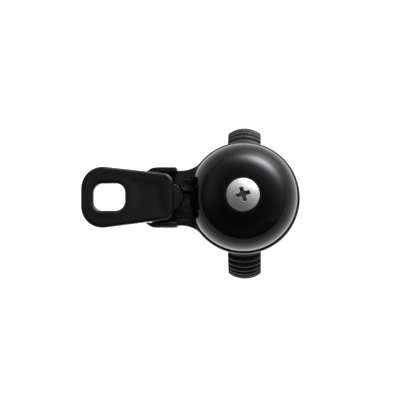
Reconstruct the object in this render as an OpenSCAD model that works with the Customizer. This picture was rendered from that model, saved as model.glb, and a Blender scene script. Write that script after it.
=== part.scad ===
// Bicycle bell on a strap clamp. Millimetres, +Z up.
// The origin is the centre of the handlebar in the clamp. The bar runs along X, the dome's axis is Z,
// and the lever points to -X.

/* [Handlebar clamp] */
// Diameter of the handlebar
bar_d = 31.8; // [31.4:0.1:32]
// Width of the strap along the bar
strap_w = 10; // [9:0.5:10.5]
// Outer radius of the strap's loop, on the crown of its ribs
loop_r = 23.3; // [22.6:0.1:23.4]
// Thickness of the rubber liner inside the strap
liner_t = 2.8; // [2.5:0.1:3]
// Radius of the split threaded stem that the strap's two ends make
stem_r = 8.6; // [8.4:0.1:8.8]
// Height of the ribs on the strap
rib_h = 0.8; // [0.5:0.1:1]
// Angle from one rib to the next around the loop
rib_step = 7; // [6:0.5:9]

/* [Clamp collar] */
// Outer radius of the collar that pulls the strap tight
collar_r = 12.2; // [11.8:0.1:13]
// Height of the collar
collar_h = 5.2; // [4.8:0.1:5.2]
// Number of grip grooves round the collar
collar_grooves = 20; // [12:1:24]

/* [Dome] */
// Outer diameter of the dome
dome_d = 32; // [31:0.1:32.4]
// Height of the dome's full curve above its rim
dome_h = 14.2; // [13.8:0.1:14.6]
// Wall thickness of the dome
dome_wall = 1.2; // [1:0.1:1.3]
// How square the dome's shoulder is, 2 being an ellipse
dome_square = 2.3; // [2.2:0.05:2.5]
// Radius of the flat seat under the screw's head
seat_r = 5.2; // [5:0.1:5.6]

/* [Base] */
// Outer radius of the base
base_r = 16.6; // [16.5:0.1:17]
// Width of the neck
neck_w = 16.4; // [16:0.1:17]
// Width over the two ears
clevis_w = 17.8; // [17.6:0.1:18.2]
// Thickness of each ear
ear_t = 1.5; // [1.3:0.1:1.5]
// Radius of the ears round the pin
ear_r = 3.7; // [3.5:0.1:3.7]

/* [Lever] */
// Distance from the dome's axis to the lever pin
pin_x = 24.4; // [24.2:0.1:24.6]
// Distance from the dome's axis to the lever's outer end
lever_reach = 47.5; // [46:0.1:50]
// Greatest width of the thumb plate
lever_w = 18; // [17:0.1:19]
// Thickness of the thumb plate
plate_t = 2.8; // [2.5:0.1:3]
// How far the thumb plate slopes down towards its outer end, in degrees
plate_slope = 8; // [6:1:9]
// Length of the finger hole along the lever
finger_l = 9.6; // [8:0.1:11]
// Width of the finger hole
finger_w = 8; // [7:0.1:9]

/* [Hidden] */
$fn = 64;

over = 1;                               // how far a cutter runs past the face it cuts
slip = 0.3;                             // room between pieces that move past each other
play = 0.05;                            // room round a pin or screw in its hole

// Heights, from the bar upwards
bar_r = bar_d / 2;
pad_t = 1.4;                            // rubber between the bar and the saddle
saddle_top = 21.5;                      // flat that the collar bears on
collar_z = saddle_top + 0.2;
post_top = collar_z + collar_h + 0.1;   // top of the saddle's post
washer_t = 0.5;
base_z = post_top + washer_t;           // underside of the base's floor
floor_t = 2.4;
floor_z = base_z + floor_t;             // top of the base's floor
neck_z = 25.2;                          // underside of the neck
skirt_z = 26.5;                         // underside of the base's skirt
lip_z = floor_z + 1.1;                  // top of the base's lip
rim_z = floor_z + 1.9;                  // the dome's rim
pin_z = floor_z + 0.7;                  // the lever pin
seat_z = rim_z + dome_h * pow(1 - pow(seat_r / (dome_d / 2), dome_square), 1 / dome_square);

// Clamp
grip_r = 1;                             // grip grooves round the collar
liner_r = bar_r + liner_t;              // where the liner meets the strap
saddle_r = bar_r + pad_t;               // where the pad meets the saddle
leg_in = 5.2;                           // inner face of each strap end
leg_top = post_top - 0.1;
strap_open = asin(leg_in / liner_r);    // half angle of the loop's opening, from the top
liner_open = 40;                        // half angle that the liner leaves open at the top
rib_gap = 1.3;                          // groove between two ribs
leg_pitch = 2.7;                        // rib pitch on the strap's ends
saddle_round = 13;                      // the saddle's corners, as a radius about the post
saddle_low = 13.2;                      // lowest edge of the saddle's cheeks
post_r = 4.9;

// Screws, insert and washers
dome_screw_r = 2.45;
saddle_screw_r = 1.95;
saddle_head_r = 3.5;                    // the saddle screw's head
saddle_head_h = 2.6;
saddle_bore_r = 3.8;                    // pocket for that head, open to the bar
saddle_bore_h = 3;
hex_r = 1.5;                            // its hexagon socket
head_r = 4.83;
head_edge = 0.5;                        // straight edge under the domed head
head_h = 2.7;
recess_l = 4.15;
recess_w = 1.2;
recess_turn = 17;                       // degrees
insert_r = 3.4;
insert_z = base_z + 1;
insert_step = 6;                        // where the insert's bore widens, above its foot
dome_screw_end = 9;                     // the dome screw's end, above the insert's foot
hub_r = 4.4;                            // the base's centre post
grommet_r = 4.6;
grommet_t = 1.4;
grommet_z = seat_z - dome_wall - grommet_t;
post_washer_t = 0.6;
hub_top = grommet_z - post_washer_t;
insert_top = hub_top - 0.6;

// Base
skirt_t = 1.5;
neck_fillet = 8;
clevis_in = clevis_w / 2 - ear_t;       // inner face of each ear
gap_end = 20.6;                         // back wall of the clevis gap, from the dome's axis
web_end = 27.4;                         // outer end of the web that joins the ears below the lever
web_t = 1.7;
ear_end = 19.7;                         // where the ears step down to the neck
ear_toe = 1.8;                          // the ears' outer end: how far out from the pin,
toe_drop = 0.4;                         // how far below it,
toe_r = 3;                              // and its radius
toe_slope = 30;                         // slope of the outer faces there, in degrees
toe_slope_x = 27;                       // where that slope begins
pit_z = floor_z - 1.5;                  // floor of the hammer's channel
pit_y = [-6.2, 1.6];
bumper_at = [-16.9, 3.7];
bumper_r = 1.9;
bumper_h = 0.8;                         // button above the neck
bumper_stem = 1.2;                      // stem in the neck
bumper_stem_r = 1.5;

// Lever and hammer
pin_r = 1;
root_x = 4.6;                           // plate's inner end, from the pin
root_y = 7;                             // half width of the plate there
knuckle_r = 3;
knuckle_y = clevis_in - slip;
plate_foot_y = 6.2;                     // half width of the foot that joins the plate to the knuckle
plate_z = ear_r + 0.4;                  // plate's underside above the pin
spring_y = 2.5;                         // half width of the spring's pocket
nose_r = 4.4;
nose_x = 22.4;                          // centre of the nose's round end
nose_steps = 4;
leaf_t = 0.6;
leaf_y = -2.2;                          // middle of the hammer leaf
leaf_w = 4;
leaf_back = 21.2;                       // the leaf's inner end, its two bends and its far end,
leaf_foot = 13.4;                       // all from the dome's axis
leaf_crest = 11.6;
leaf_end = 7.4;
leaf_bend = 0.3;                        // how far a bend shifts from one face to the other
rivet_x = 19.9;
rivet_y = 1.1;                          // half the distance between the two rivets
rivet_r = 0.5;
rivet_l = 1.5;                          // depth in the nose
rivet_head_r = 0.9;
rivet_head_h = 0.4;
leaf_top = floor_z + 0.1;               // the leaf lies under the nose
head_x = 9.7;                           // hammer head, from the dome's axis
tab_z = leaf_top + 4;
hammer_r = 2.4;
hammer_h = 3.6;
hammer_round = 2.8;                     // radius of the hammer's rounded face
peg_r = 1;                              // peg that holds the hammer on the leaf
peg_head_r = 1.5;
peg_head_h = 0.5;
wire_r = 0.35;                          // spring wire
coil_r = 1.75;
coil_turns = 4;
coil_pitch = 0.95;

// ---------- helpers ----------

// A cylinder along X, centred on the bar's axis
module along_bar(r, l) { translate([-l / 2, 0, 0]) rotate([0, 90, 0]) cylinder(r = r, h = l); }

// A cylinder along Y through the lever pin's axis
module along_pin(r, half) {
    translate([-pin_x, half, pin_z]) rotate([90, 0, 0]) cylinder(r = r, h = 2 * half);
}

// Turns a profile (x = radius, y = along the bar) round the bar, open by open_deg each side of the top
module loop(open_deg) {
    rotate([0, 90, 0])
        rotate([0, 0, open_deg - 180])
            rotate_extrude(angle = 360 - 2 * open_deg) children();
}

// A ring with a hole, standing on z
module ring(r_out, r_in, z, h) {
    translate([0, 0, z])
        difference() {
            cylinder(r = r_out, h = h);
            translate([0, 0, -over]) cylinder(r = r_in, h = h + 2 * over);
        }
}

// ---------- clamp ----------

// The strap's section: flat inside, round crown outside
module strap_section() {
    intersection() {
        translate([liner_r, -strap_w / 2]) square([loop_r, strap_w]);
        translate([loop_r - stem_r, 0]) circle(r = stem_r);
    }
}

// One groove between two ribs, seen at the top of the loop
module loop_groove() {
    difference() {
        translate([-strap_w, -rib_gap / 2, loop_r - stem_r]) cube([2 * strap_w, rib_gap, 2 * stem_r]);
        translate([0, -over, loop_r - stem_r])
            rotate([-90, 0, 0]) cylinder(r = stem_r - rib_h, h = 2 * over);
    }
}

// The strap's two upright ends, which make a split stem
module strap_legs() {
    intersection() {
        translate([0, 0, leg_in]) cylinder(r = stem_r, h = leg_top - leg_in);
        for (side = [-1, 1])
            translate([-strap_w / 2, side > 0 ? leg_in : -stem_r - over, bar_r + pad_t])
                cube([strap_w, stem_r + over - leg_in, leg_top]);
    }
}

module strap() {
    color([0.13, 0.14, 0.13])
        difference() {
            union() {
                loop(strap_open) strap_section();
                strap_legs();
            }
            for (a = [rib_step * 4 : rib_step : 360 - rib_step * 4]) rotate([a, 0, 0]) loop_groove();
            for (z = [leg_top - rib_h : -leg_pitch : saddle_top])
                ring(stem_r + over, stem_r - rib_h, z - rib_gap, rib_gap);
        }
}

module strap_liner() {
    color([0.08, 0.08, 0.08])
        loop(liner_open) translate([bar_r, -strap_w / 2]) square([liner_t, strap_w]);
}

module saddle() {
    color([0.07, 0.07, 0.07])
        difference() {
            union() {
                translate([0, 0, saddle_low]) cylinder(r = saddle_round, h = saddle_top - saddle_low);
                cylinder(r = post_r, h = post_top);
            }
            along_bar(saddle_r, 4 * saddle_round);
            for (side = [-1, 1])
                translate([-strap_w / 2 - slip, side > 0 ? leg_in - 0.2 : -2 * saddle_round, 0])
                    cube([strap_w + 2 * slip, 2 * saddle_round - leg_in + 0.2, saddle_top + over]);
            cylinder(r = saddle_screw_r + play, h = post_top + over);
            cylinder(r = saddle_bore_r, h = saddle_r + saddle_bore_h);
        }
}

module saddle_pad() {
    color([0.1, 0.1, 0.1])
        intersection() {
            difference() {
                along_bar(saddle_r, strap_w);
                along_bar(bar_r, 2 * strap_w);
            }
            translate([-strap_w, -post_r, 0]) cube([2 * strap_w, 2 * post_r, saddle_top]);
        }
}

module saddle_screw() {
    color([0.6, 0.6, 0.62])
        difference() {
            union() {
                translate([0, 0, saddle_r + 0.3]) cylinder(r = saddle_head_r, h = saddle_head_h);
                translate([0, 0, saddle_r + 0.3]) cylinder(r = saddle_screw_r, h = insert_z + 5 - saddle_r);
            }
            translate([0, 0, saddle_r]) cylinder(r = hex_r, h = 2, $fn = 6);
        }
}

module swivel_washer() {
    color([0.85, 0.85, 0.8]) ring(post_r, saddle_screw_r + 0.1, post_top, washer_t);
}

module clamp_collar() {
    color([0.09, 0.09, 0.09])
        difference() {
            ring(collar_r, stem_r + slip, collar_z, collar_h);
            for (i = [0 : collar_grooves - 1])
                rotate([0, 0, i * 360 / collar_grooves])
                    translate([collar_r + grip_r / 2, 0, collar_z - over])
                        cylinder(r = grip_r, h = collar_h + 2 * over);
        }
}

// ---------- base ----------

// Plan of the neck: straight sides that flare into the round base
module neck_plan() {
    flare_y = neck_w / 2 + neck_fillet;
    flare_x = sqrt(pow(base_r + neck_fillet - 0.05, 2) - pow(flare_y, 2));
    difference() {
        union() {
            translate([-web_end, -neck_w / 2]) square([web_end - 5, neck_w]);
            for (side = [-1, 1]) polygon([[0, 0], [-flare_x, 0], [-flare_x, side * flare_y]]);
        }
        for (side = [-1, 1]) translate([-flare_x, side * flare_y]) circle(r = neck_fillet);
    }
}

// One ear of the clevis, on the side given by its sign
module ear(side) {
    y_mid = side * (clevis_w - ear_t) / 2;
    difference() {
        translate([0, y_mid + ear_t / 2, 0]) {
            rotate([90, 0, 0])
                linear_extrude(ear_t)
                    hull() {
                        translate([-pin_x, pin_z]) circle(r = ear_r);
                        translate([-pin_x - ear_toe, pin_z - toe_drop]) circle(r = toe_r);
                    }
            translate([-pin_x, -ear_t, neck_z]) cube([pin_x - ear_end, ear_t, pin_z + ear_r - neck_z]);
        }
        translate([-toe_slope_x, side * clevis_w / 2, neck_z - over])
            rotate([0, 0, side * toe_slope])
                translate([-2 * ear_r, side > 0 ? 0 : -2 * ear_t, 0])
                    cube([2 * ear_r, 2 * ear_t, 2 * ear_r + pin_z]);
    }
}

module base() {
    color([0.06, 0.06, 0.06])
        difference() {
            union() {
                translate([0, 0, base_z]) cylinder(r = base_r - 0.4, h = floor_t);
                ring(base_r, base_r - skirt_t, skirt_z, lip_z - skirt_z);
                difference() {
                    translate([0, 0, neck_z]) linear_extrude(floor_z - neck_z) neck_plan();
                    translate([0, 0, neck_z - over]) cylinder(r = base_r - skirt_t, h = base_z - neck_z + over);
                }
                ear(-1);
                ear(1);
                translate([0, 0, base_z]) cylinder(r = hub_r, h = hub_top - base_z);
            }
            translate([-pin_x - 2 * ear_r, -clevis_in, neck_z + web_t])
                cube([pin_x + 2 * ear_r - gap_end, 2 * clevis_in, 2 * ear_r + pin_z]);
            translate([-gap_end - over, pit_y[0], pit_z])
                cube([gap_end + over - 7.5, pit_y[1] - pit_y[0], lip_z]);
            along_pin(pin_r, clevis_w);
            translate([bumper_at[0], bumper_at[1], floor_z - bumper_stem]) cylinder(r = bumper_stem_r, h = lip_z);
            translate([bumper_at[0], bumper_at[1], floor_z]) cylinder(r = bumper_r + play, h = lip_z);
            translate([0, 0, insert_z]) cylinder(r = insert_r, h = hub_top);
            translate([0, 0, base_z - over]) cylinder(r = saddle_screw_r + 0.15, h = floor_t + over);
        }
}

module post_insert() {
    color([0.75, 0.6, 0.3])
        translate([0, 0, insert_z])
            difference() {
                cylinder(r = insert_r, h = insert_top - insert_z);
                translate([0, 0, -over]) cylinder(r = saddle_screw_r, h = insert_top);
                translate([0, 0, insert_step]) cylinder(r = dome_screw_r, h = insert_top);
            }
}

// Rubber button beside the hammer's channel
module stop_bumper() {
    color([0.11, 0.11, 0.1])
        translate([bumper_at[0], bumper_at[1], floor_z]) {
            difference() {
                cylinder(r = bumper_r, h = bumper_h);
                difference() {
                    translate([0, 0, bumper_h - 0.3]) cylinder(r = bumper_r + over, h = over);
                    cylinder(r = bumper_r - 0.3, h = 3 * over);
                }
            }
            translate([0, 0, -bumper_stem]) cylinder(r = bumper_stem_r, h = bumper_stem);
        }
}

module lever_pin() {
    color([0.65, 0.65, 0.67]) along_pin(pin_r, clevis_w / 2);
}

// ---------- dome ----------

// Points of the dome's curve for half width r and height h, up to the angle last
function curve(r, h, last, steps) = [
    for (i = [0 : steps])
        let (t = last * i / steps)
        [r * pow(cos(t), 2 / dome_square), rim_z + h * pow(sin(t), 2 / dome_square)]
];

module dome() {
    r = dome_d / 2;
    steps = 22;
    inner_r = r - dome_wall;
    inner_h = dome_h - dome_wall;
    outer_last = acos(pow(seat_r / r, dome_square / 2));
    inner_last = asin(pow((seat_z - rim_z - dome_wall) / inner_h, dome_square / 2));
    outer = curve(r, dome_h, outer_last, steps);
    inner = curve(inner_r, inner_h, inner_last, steps);
    hole = dome_screw_r + 0.2;
    color([0.03, 0.03, 0.03])
        rotate_extrude()
            polygon(concat(
                outer,
                [[hole, seat_z], [hole, seat_z - dome_wall]],
                [for (i = [steps : -1 : 0]) inner[i]]
            ));
}

module dome_grommet() {
    color([0.12, 0.12, 0.12]) ring(grommet_r, dome_screw_r + 0.1, grommet_z, grommet_t);
}

module post_washer() {
    color([0.7, 0.7, 0.72]) ring(grommet_r, dome_screw_r + 0.1, hub_top, post_washer_t);
}

module dome_screw() {
    cap_h = head_h - head_edge;
    cap_r = (head_r * head_r + cap_h * cap_h) / (2 * cap_h);
    shank = seat_z - insert_z - dome_screw_end;
    color([0.82, 0.82, 0.83])
        translate([0, 0, seat_z])
            difference() {
                union() {
                    intersection() {
                        cylinder(r = head_r, h = head_h + over);
                        translate([0, 0, head_h - cap_r]) sphere(r = cap_r);
                    }
                    translate([0, 0, -shank]) cylinder(r = dome_screw_r, h = shank + 0.2);
                }
                rotate([0, 0, recess_turn])
                    for (turn = [0, 90])
                        rotate([0, 0, turn])
                            translate([-recess_l / 2, -recess_w / 2, head_h - 1.7])
                                cube([recess_l, recess_w, 3]);
            }
}

// ---------- lever and hammer ----------

// Plan of the thumb plate, measured from the pin, outer end at -X
module plate_plan() {
    reach = lever_reach - pin_x;
    big = 7.4;
    small = 2.6;
    hull() {
        for (side = [-1, 1]) {
            translate([big - reach, side * (lever_w / 2 - big)]) circle(r = big, $fn = 48);
            translate([root_x - small, side * (root_y - small)]) circle(r = small, $fn = 32);
        }
    }
}

// Plan of the finger hole
module finger_plan() {
    corner = 2.8;
    far = lever_reach - pin_x - 3.7 - corner;
    near = far - finger_l + 2 * corner;
    hull()
        for (x = [far, near], side = [-1, 1])
            translate([-x, side * (finger_w / 2 - corner)]) circle(r = corner, $fn = 32);
}

// The nose over the neck, stepping down towards the dome
module nose() {
    for (i = [0 : nose_steps - 1]) {
        reach_x = nose_r - i * 0.8;
        intersection() {
            translate([-nose_x, 0, leaf_top]) cylinder(r = nose_r, h = 2.4 + i * 0.6);
            translate([-nose_x - 1, -nose_r, leaf_top]) cube([reach_x + 1, 2 * nose_r, 6]);
        }
    }
}

module lever() {
    color([0.09, 0.09, 0.085])
        difference() {
            union() {
                translate([-pin_x, 0, pin_z])
                    rotate([0, -plate_slope, 0])
                        translate([0, 0, plate_z])
                            linear_extrude(plate_t)
                                difference() {
                                    plate_plan();
                                    finger_plan();
                                }
                along_pin(knuckle_r, knuckle_y);
                translate([-pin_x - knuckle_r, -plate_foot_y, pin_z])
                    cube([2 * knuckle_r, 2 * plate_foot_y, plate_z + 0.8]);
                nose();
            }
            along_pin(pin_r + play, clevis_w);
            along_pin(knuckle_r + slip, spring_y);
            translate([-pin_x - 2 * knuckle_r, -spring_y, neck_z])
                cube([2 * knuckle_r, 2 * spring_y, pin_z - neck_z + knuckle_r + 0.2]);
            for (y = [-rivet_y, rivet_y])
                translate([-rivet_x, leaf_y + y, leaf_top - over]) cylinder(r = rivet_r, h = rivet_l + over);
        }
}

// Spring strip from under the nose, below the dome's rim and up inside the dome
module hammer_leaf() {
    bottom = leaf_top - leaf_t;
    color([0.7, 0.7, 0.72])
        translate([0, leaf_y + leaf_w / 2, 0])
            rotate([90, 0, 0])
                difference() {
                    linear_extrude(leaf_w)
                        polygon([
                            [-leaf_back, bottom], [-leaf_foot, bottom],
                            [-leaf_crest, tab_z - leaf_t], [-leaf_end, tab_z - leaf_t],
                            [-leaf_end, tab_z], [-leaf_crest - leaf_bend, tab_z],
                            [-leaf_foot - leaf_bend, leaf_top], [-leaf_back, leaf_top]
                        ]);
                    translate([-head_x, tab_z + over, leaf_w / 2])
                        rotate([90, 0, 0]) cylinder(r = peg_r, h = leaf_t + 2 * over);
                    for (y = [-rivet_y, rivet_y])
                        translate([-rivet_x, leaf_top + over, leaf_w / 2 + y])
                            rotate([90, 0, 0]) cylinder(r = rivet_r, h = leaf_t + 2 * over);
                }
}

module hammer_rivets() {
    color([0.75, 0.75, 0.76])
        for (y = [-rivet_y, rivet_y])
            translate([-rivet_x, leaf_y + y, leaf_top]) {
                translate([0, 0, -leaf_t]) cylinder(r = rivet_r, h = leaf_t + rivet_l);
                translate([0, 0, -leaf_t - rivet_head_h]) cylinder(r = rivet_head_r, h = rivet_head_h);
            }
}

module hammer_head() {
    color([0.78, 0.64, 0.35])
        translate([-head_x, leaf_y, tab_z]) {
            intersection() {
                cylinder(r = hammer_r, h = hammer_h);
                translate([0, 0, hammer_h - hammer_round]) sphere(r = hammer_round);
            }
            translate([0, 0, -leaf_t]) cylinder(r = peg_r, h = leaf_t + 0.3);
            translate([0, 0, -leaf_t - peg_head_h]) cylinder(r = peg_head_r, h = peg_head_h);
        }
}

// Points along the spring wire: a leg under the plate, the coil round the pin, a leg to the back wall
function coil_point(a) = [
    -pin_x + coil_r * cos(a), coil_pitch * (a / 360 - coil_turns / 2), pin_z + coil_r * sin(a)
];
coil_from = 90;
coil_to = 270 + 360 * (coil_turns - 1);
coil_path = concat(
    [coil_point(coil_from) + [-4.6, 0, 1.3], coil_point(coil_from) + [-1.2, 0, 0.15]],
    [for (a = [coil_from : 15 : coil_to]) coil_point(a)],
    [coil_point(coil_to) + [1.2, 0, -0.05], coil_point(coil_to) + [pin_x - gap_end - play, 0, -0.1]]
);

module lever_spring() {
    sides = 8;
    last = len(coil_path) - 1;
    points = [
        for (i = [0 : last])
            let (
                ahead = coil_path[min(i + 1, last)] - coil_path[max(i - 1, 0)],
                run = ahead / norm(ahead),
                across = cross(run, [0, 1, 0]),
                side = across / norm(across),
                up = cross(side, run)
            )
            for (k = [0 : sides - 1])
                coil_path[i] + wire_r * (side * cos(k * 360 / sides) + up * sin(k * 360 / sides))
    ];
    walls = [
        for (i = [0 : last - 1], k = [0 : sides - 1])
            let (a = i * sides + k, b = i * sides + (k + 1) % sides)
            [a, b, b + sides, a + sides]
    ];
    ends = [
        [for (k = [sides - 1 : -1 : 0]) k],
        [for (k = [0 : sides - 1]) last * sides + k]
    ];
    color([0.7, 0.7, 0.72]) polyhedron(points = points, faces = concat(walls, ends));
}

base();
post_insert();
stop_bumper();
lever_pin();
lever_spring();
dome();
dome_grommet();
post_washer();
dome_screw();
lever();
hammer_leaf();
hammer_rivets();
hammer_head();
saddle();
saddle_pad();
saddle_screw();
swivel_washer();
clamp_collar();
strap();
strap_liner();
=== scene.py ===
# %% [markdown]
# # A bicycle bell
# A small handlebar bell: a gloss black dome under one steel screw, a moulded base with a sprung
# thumb lever, and a ribbed strap that a round collar draws tight. The working parts come from the
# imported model. This file gives each of them the surface and the finish of the real thing.
# Lengths below are in millimetres until a mesh is made, because that is how a bell is drawn.

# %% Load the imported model
import bmesh
import bpy
import numpy as np
from mathutils import Matrix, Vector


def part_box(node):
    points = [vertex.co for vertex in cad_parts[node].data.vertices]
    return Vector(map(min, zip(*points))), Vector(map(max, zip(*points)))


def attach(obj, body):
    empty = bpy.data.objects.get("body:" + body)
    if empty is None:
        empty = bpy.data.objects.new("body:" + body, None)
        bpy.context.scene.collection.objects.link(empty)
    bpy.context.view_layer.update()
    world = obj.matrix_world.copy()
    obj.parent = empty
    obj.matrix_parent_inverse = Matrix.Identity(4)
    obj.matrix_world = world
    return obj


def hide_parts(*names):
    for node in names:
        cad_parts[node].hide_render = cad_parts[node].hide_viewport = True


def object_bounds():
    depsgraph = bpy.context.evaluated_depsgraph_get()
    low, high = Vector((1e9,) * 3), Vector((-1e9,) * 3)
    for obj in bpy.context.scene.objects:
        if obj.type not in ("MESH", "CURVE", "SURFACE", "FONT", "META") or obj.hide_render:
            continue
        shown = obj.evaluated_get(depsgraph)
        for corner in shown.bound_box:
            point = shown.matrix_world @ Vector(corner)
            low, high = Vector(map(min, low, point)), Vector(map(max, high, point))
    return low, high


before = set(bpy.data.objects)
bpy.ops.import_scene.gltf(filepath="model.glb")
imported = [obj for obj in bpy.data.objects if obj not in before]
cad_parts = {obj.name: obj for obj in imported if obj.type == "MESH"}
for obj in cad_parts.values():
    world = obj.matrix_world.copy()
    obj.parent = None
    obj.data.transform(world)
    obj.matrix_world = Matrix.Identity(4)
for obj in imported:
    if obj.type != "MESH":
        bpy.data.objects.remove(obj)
cad_low, cad_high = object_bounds()


def span(node):
    """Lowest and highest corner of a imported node, in millimetres."""
    low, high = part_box(node)
    return np.array(low) * 1000, np.array(high) * 1000


# %% [markdown]
# ## Camera, floor and light
# A product picture of a black object is mostly a picture of what it reflects. The camera is high above
# the bell and a little to its front, so the near walls just show. The floor is a pale light table:
# it lights the undersides and gives the dome its bright rim. The panels are soft patches painted in
# the air: one bright and low at the back, which draws the long highlight round the dome's shoulder,
# and a few faint ones. The air overhead is nearly dark, which keeps the middle of the dome black.

# %% Camera
dome_low, dome_high = span("dome")
rim_z = dome_low[2]
VIEW_WIDTH = 118.5                      # mm across the picture at the dome's rim
CAMERA_AWAY = 700.0                     # mm from the rim to the camera
LEAN_FRONT, LEAN_SIDE = 3.4, 1.7        # degrees off straight down, to the front and to the right
aim = np.array([-12.9, -0.75, rim_z])   # the middle of the picture, left of the dome

lean = np.radians([LEAN_SIDE, LEAN_FRONT])
away = np.array([np.sin(lean[0]), -np.sin(lean[1]), 1.0])
away /= np.linalg.norm(away)
camera = bpy.data.objects.new("camera", bpy.data.cameras.new("camera"))
bpy.context.scene.collection.objects.link(camera)
camera.location = (aim + away * CAMERA_AWAY) / 1000
forward = -away
right = np.cross(forward, [0, 1, 0])
right /= np.linalg.norm(right)
up = np.cross(right, forward)
turn = np.stack([right, up, -forward], axis=1)
camera.rotation_mode = "QUATERNION"
camera.rotation_quaternion = Matrix(turn.tolist()).to_quaternion()
camera.data.sensor_width = 36
camera.data.lens = camera.data.sensor_width * CAMERA_AWAY / VIEW_WIDTH
camera.data.clip_start, camera.data.clip_end = 0.01, 20
bpy.context.scene.camera = camera
print("camera lens", round(camera.data.lens, 1), "mm")

# %% Shader helpers
scene = bpy.context.scene
scene.view_settings.view_transform = "Standard"


def paint(name):
    """A new material and its Principled shader."""
    material = bpy.data.materials.new(name)
    material.use_nodes = True
    return material, material.node_tree, material.node_tree.nodes["Principled BSDF"]


def feed(tree, value, socket):
    """Links a socket, or sets a number."""
    if isinstance(value, bpy.types.NodeSocket):
        tree.links.new(value, socket)
    else:
        socket.default_value = value


def math(tree, operation, a, b=0.0, clamp=False):
    """A Math node on two sockets or numbers."""
    node = tree.nodes.new("ShaderNodeMath")
    node.operation, node.use_clamp = operation, clamp
    feed(tree, a, node.inputs[0])
    feed(tree, b, node.inputs[1])
    return node.outputs[0]


print("shader helpers ready")

# %% Floor
FLOOR_HALF = 1.5                        # metres
FLOOR_GAP = 0.0003                      # metres between the floor and the lowest piece
GLOW_NEAR, GLOW_FAR = 1.3, 0.22         # the table's light under the bell and far from it
GLOW_REACH, GLOW_SEEN = 0.075, 1.3      # how fast it fades, in metres, and how bright it looks
GLOW_FRONT = -0.015                     # metres from the bell to the glow's middle, to the front
floor_z = cad_low[2] - FLOOR_GAP
floor_mesh = bpy.data.meshes.new("floor")
floor_mesh.from_pydata(
    [(x * FLOOR_HALF, y * FLOOR_HALF, floor_z) for x, y in ((-1, -1), (1, -1), (1, 1), (-1, 1))],
    [], [(0, 1, 2, 3)])
floor = bpy.data.objects.new("floor", floor_mesh)
scene.collection.objects.link(floor)
floor_paint, tree, floor_shader = paint("light table")
floor_shader.inputs["Base Color"].default_value = (0.2, 0.2, 0.2, 1)
floor_shader.inputs["Roughness"].default_value = 0.3
floor_shader.inputs["Emission Color"].default_value = (1, 1, 1, 1)
place = tree.nodes.new("ShaderNodeTexCoord").outputs["Object"]
distance = tree.nodes.new("ShaderNodeVectorMath")
distance.operation = "DISTANCE"
distance.inputs[1].default_value = (0, GLOW_FRONT, floor_z)
tree.links.new(place, distance.inputs[0])
glow = math(tree, "POWER", 1 / np.e, math(tree, "DIVIDE", distance.outputs["Value"], GLOW_REACH))
glow = math(tree, "ADD", math(tree, "MULTIPLY", glow, GLOW_NEAR), GLOW_FAR)
seen = tree.nodes.new("ShaderNodeLightPath").outputs["Is Camera Ray"]
glow = math(tree, "MAXIMUM", glow, math(tree, "MULTIPLY", seen, GLOW_SEEN))
tree.links.new(glow, floor_shader.inputs["Emission Strength"])
floor_mesh.materials.append(floor_paint)
print("floor at", round(floor_z * 1000, 2), "mm")

# %% Air and soft panels
AIR = 0.025                             # strength of the air between the panels
PANELS = [                              # azimuth, elevation, width, height, strength
    (63, 10, 0.40, 0.20, 11), (56, 24, 0.8, 0.4, 0.5), (165, 26, 0.5, 0.36, 0.22),
    (-70, 25, 0.6, 0.3, 0.06), (120, 84, 0.3, 0.3, 0.3)]

world = bpy.data.worlds.new("air")
scene.world = world
world.use_nodes = True
sky = world.node_tree
toward = sky.nodes.new("ShaderNodeTexCoord").outputs["Generated"]


def along(direction):
    """How far the looked-at direction points along another."""
    node = sky.nodes.new("ShaderNodeVectorMath")
    node.operation = "DOT_PRODUCT"
    sky.links.new(toward, node.inputs[0])
    node.inputs[1].default_value = direction
    return node.outputs["Value"]


def soft_light(azimuth, elevation, wide, tall, strength):
    """A soft-edged panel: strength exp(-(s/wide)^2 - (u/tall)^2), where s and u are how far the direction
    lies to the side of the panel's middle and above it. Azimuth is from +X towards +Y, in degrees."""
    a, e = np.radians([azimuth, elevation])
    middle = np.array([np.cos(a) * np.cos(e), np.sin(a) * np.cos(e), np.sin(e)])
    side = np.array([-np.sin(a), np.cos(a), 0])
    off = [math(sky, "POWER", math(sky, "DIVIDE", math(sky, "ABSOLUTE", along(v)), reach), 2)
           for v, reach in ((side, wide), (np.cross(middle, side), tall))]
    fall = math(sky, "POWER", 1 / np.e, math(sky, "ADD", off[0], off[1]))
    facing = math(sky, "GREATER_THAN", along(middle))
    return math(sky, "MULTIPLY", math(sky, "MULTIPLY", fall, strength), facing)


light = math(sky, "ADD", AIR, soft_light(*PANELS[0]))
for panel in PANELS[1:]:
    light = math(sky, "ADD", light, soft_light(*panel))
seen = sky.nodes.new("ShaderNodeLightPath").outputs["Is Camera Ray"]
background = sky.nodes["Background"]
background.inputs["Color"].default_value = (0.95, 0.97, 1, 1)
sky.links.new(math(sky, "MAXIMUM", light, seen), background.inputs["Strength"])

# The key box lights the rough plastics from behind the bell, and isn't seen in the reflections.
key = bpy.data.lights.new("key box", "AREA")
key.shape, key.size, key.size_y, key.energy = "RECTANGLE", 0.8, 0.5, 3
key_box = bpy.data.objects.new("key box", key)
scene.collection.objects.link(key_box)
key_box.location = (0.45, 0.65, 0.75)
key_box.rotation_euler = (-0.71, 0.43, -0.1)
key_box.visible_glossy = False
print("air and key light made")

# %% [markdown]
# ## Making a mesh from arrays
# Two kinds of surface make every new piece here. A grid surface is worked out from two numbers, one
# along and one across, and is right for anything turned or swept. A skin is grown on a distance
# field: a formula that says how far a point is from the part, with rounded joins between its shapes.
# Moulded plastic looks like that, because a mould has no sharp inner corner anywhere.

# %% Mesh helpers
WELD = 2e-7                             # metres between points that are one


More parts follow.
